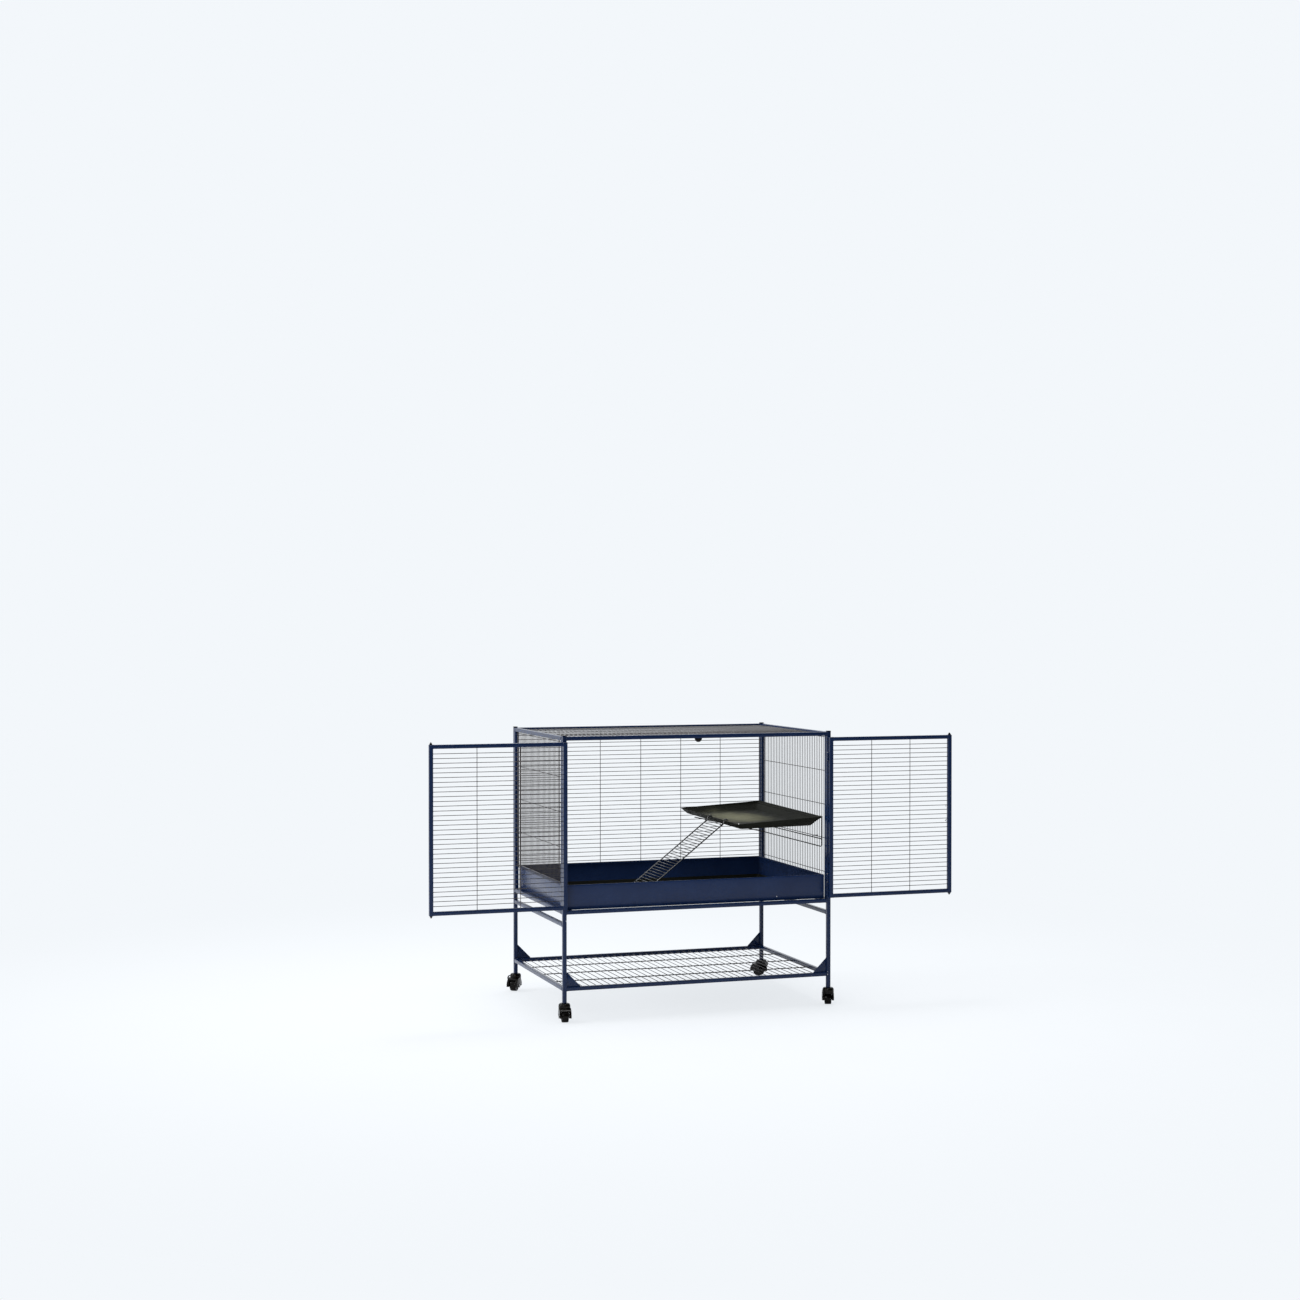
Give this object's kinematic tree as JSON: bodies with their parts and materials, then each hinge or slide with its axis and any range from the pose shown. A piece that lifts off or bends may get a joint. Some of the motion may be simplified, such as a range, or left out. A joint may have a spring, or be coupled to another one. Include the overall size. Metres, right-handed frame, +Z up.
{
  "type": "ferret cage on wheeled stand",
  "caption": "wide wire ferret cage on a wheeled tube stand, twin front doors folded open, deep litter tray, half shelf with ladder and open wire base shelf",
  "frame": {"origin": "on the floor under the middle of the whole part's box, doors folded open", "axes": "+X to the right seen from the front, +Y to the back, +Z up; the front faces -Y"},
  "size_m": [1.85, 0.7042, 0.9383],
  "materials": {
    "navy_paint": "semi-gloss navy powder coat",
    "tray_paint": "semi-gloss navy powder coat on sheet",
    "bare_wire": "plated grey-brown wire",
    "black_wire": "black coated wire",
    "black_plastic": "moulded black plastic",
    "pan_plastic": "smooth dark olive-black plastic",
    "pin_steel": "bright steel"
  },
  "bodies": {
    "frame": {"back_base_rail": "navy_paint", "back_floor_rail": "navy_paint", "back_grille": "bare_wire", "back_left_post": "navy_paint", "back_left_post_cap": "black_plastic", "back_right_post": "navy_paint", "back_right_post_cap": "black_plastic", "back_top_rail": "navy_paint", "base_grille": "bare_wire", "door_stop": "black_plastic", "front_base_rail": "navy_paint", "front_floor_rail": "navy_paint", "front_left_post": "navy_paint", "front_left_post_cap": "black_plastic", "front_right_post": "navy_paint", "front_right_post_cap": "black_plastic", "front_top_rail": "navy_paint", "half_shelf": "pan_plastic", "left_base_side_rail": "navy_paint", "left_lower_hinge_pin": "pin_steel", "left_panel_frame": "navy_paint", "left_side_grille": "bare_wire", "left_stand_rail": "navy_paint", "left_tray_runner": "navy_paint", "left_upper_hinge_pin": "pin_steel", "right_base_side_rail": "navy_paint", "right_lower_hinge_pin": "pin_steel", "right_panel_frame": "navy_paint", "right_side_grille": "bare_wire", "right_stand_rail": "navy_paint", "right_tray_runner": "navy_paint", "right_upper_hinge_pin": "pin_steel", "shelf_bracket": "black_wire", "top_grille": "bare_wire"},
    "left_door": {"left_door_frame": "navy_paint", "left_door_grille": "bare_wire"},
    "left_upper_bolt_body": {"left_upper_bolt": "black_plastic"},
    "left_lower_bolt_body": {"left_lower_bolt": "black_plastic"},
    "right_door": {"right_door_frame": "navy_paint", "right_door_grille": "bare_wire"},
    "right_upper_bolt_body": {"right_upper_bolt": "black_plastic"},
    "right_lower_bolt_body": {"right_lower_bolt": "black_plastic"},
    "tray": {"litter_tray": "tray_paint", "tray_liner": "pan_plastic"},
    "ladder_body": {"ladder": "black_wire"},
    "front_left_swivel_body": {"front_left_caster_hood": "black_plastic", "front_left_caster_axle": "pin_steel"},
    "front_left_wheel_body": {"front_left_caster_wheel": "black_plastic"},
    "front_right_swivel_body": {"front_right_caster_hood": "black_plastic", "front_right_caster_axle": "pin_steel"},
    "front_right_wheel_body": {"front_right_caster_wheel": "black_plastic"},
    "back_left_swivel_body": {"back_left_caster_hood": "black_plastic", "back_left_caster_axle": "pin_steel"},
    "back_left_wheel_body": {"back_left_caster_wheel": "black_plastic"},
    "back_right_swivel_body": {"back_right_caster_hood": "black_plastic", "back_right_caster_axle": "pin_steel"},
    "back_right_wheel_body": {"back_right_caster_wheel": "black_plastic"},
    "back_left_brake_body": {"back_left_brake_lever": "black_plastic"},
    "back_right_brake_body": {"back_right_brake_lever": "black_plastic"}
  },
  "joints": [
    {"name": "left_door_hinge", "type": "hinge", "parent": "frame", "child": "left_door", "pos_m": [-0.463, -0.31828, 0.644], "axis": [0, 0, 1], "range_deg": [0, 180]},
    {"name": "right_door_hinge", "type": "hinge", "parent": "frame", "child": "right_door", "pos_m": [0.463, -0.31828, 0.644], "axis": [0, 0, -1], "range_deg": [0, 180]},
    {"name": "tray_slide", "type": "slide", "parent": "frame", "child": "tray", "axis": [0, 1, 0], "range_m": [-0.3, 0]},
    {"name": "left_upper_bolt_slide", "type": "slide", "parent": "left_door", "child": "left_upper_bolt_body", "axis": [0, 0, 1], "range_m": [-0.008, 0], "stiffness_N_per_m": 400, "springref_m": 0.01},
    {"name": "left_lower_bolt_slide", "type": "slide", "parent": "left_door", "child": "left_lower_bolt_body", "axis": [0, 0, -1], "range_m": [-0.008, 0], "stiffness_N_per_m": 400, "springref_m": 0.01},
    {"name": "right_upper_bolt_slide", "type": "slide", "parent": "right_door", "child": "right_upper_bolt_body", "axis": [0, 0, 1], "range_m": [-0.008, 0], "stiffness_N_per_m": 400, "springref_m": 0.01},
    {"name": "right_lower_bolt_slide", "type": "slide", "parent": "right_door", "child": "right_lower_bolt_body", "axis": [0, 0, -1], "range_m": [-0.008, 0], "stiffness_N_per_m": 400, "springref_m": 0.01},
    {"name": "ladder_tilt", "type": "hinge", "parent": "frame", "child": "ladder_body", "pos_m": [0.1472, -0.09178, 0.62654], "axis": [0, 1, 0], "range_deg": [0, 20]},
    {"name": "front_left_swivel", "type": "hinge", "parent": "frame", "child": "front_left_swivel_body", "pos_m": [-0.4695, -0.30928, 0.061], "axis": [0, 0, 1], "continuous": true},
    {"name": "front_left_wheel_spin", "type": "hinge", "parent": "front_left_swivel_body", "child": "front_left_wheel_body", "pos_m": [-0.47193, -0.32306, 0.021], "axis": [0.9848, -0.1736, 0], "continuous": true},
    {"name": "front_right_swivel", "type": "hinge", "parent": "frame", "child": "front_right_swivel_body", "pos_m": [0.4695, -0.30928, 0.061], "axis": [0, 0, 1], "continuous": true},
    {"name": "front_right_wheel_spin", "type": "hinge", "parent": "front_right_swivel_body", "child": "front_right_wheel_body", "pos_m": [0.47429, -0.29612, 0.021], "axis": [-0.9397, 0.342, 0], "continuous": true},
    {"name": "back_left_swivel", "type": "hinge", "parent": "frame", "child": "back_left_swivel_body", "pos_m": [-0.4695, 0.30772, 0.061], "axis": [0, 0, 1], "continuous": true},
    {"name": "back_left_wheel_spin", "type": "hinge", "parent": "back_left_swivel_body", "child": "back_left_wheel_body", "pos_m": [-0.47753, 0.29626, 0.021], "axis": [0.8191, -0.5736, 0], "continuous": true},
    {"name": "back_right_swivel", "type": "hinge", "parent": "frame", "child": "back_right_swivel_body", "pos_m": [0.4695, 0.30772, 0.061], "axis": [0, 0, 1], "continuous": true},
    {"name": "back_right_wheel_spin", "type": "hinge", "parent": "back_right_swivel_body", "child": "back_right_wheel_body", "pos_m": [0.46448, 0.32079, 0.021], "axis": [-0.9336, -0.3584, 0], "continuous": true},
    {"name": "back_left_brake_pivot", "type": "hinge", "parent": "back_left_swivel_body", "child": "back_left_brake_body", "pos_m": [-0.48572, 0.31908, 0.0525], "axis": [0.5736, 0.8191, 0], "range_deg": [0, 20]},
    {"name": "back_right_brake_pivot", "type": "hinge", "parent": "back_right_swivel_body", "child": "back_right_brake_body", "pos_m": [0.48798, 0.31482, 0.0525], "axis": [0.3584, -0.9336, 0], "range_deg": [0, 20]}
  ]
}
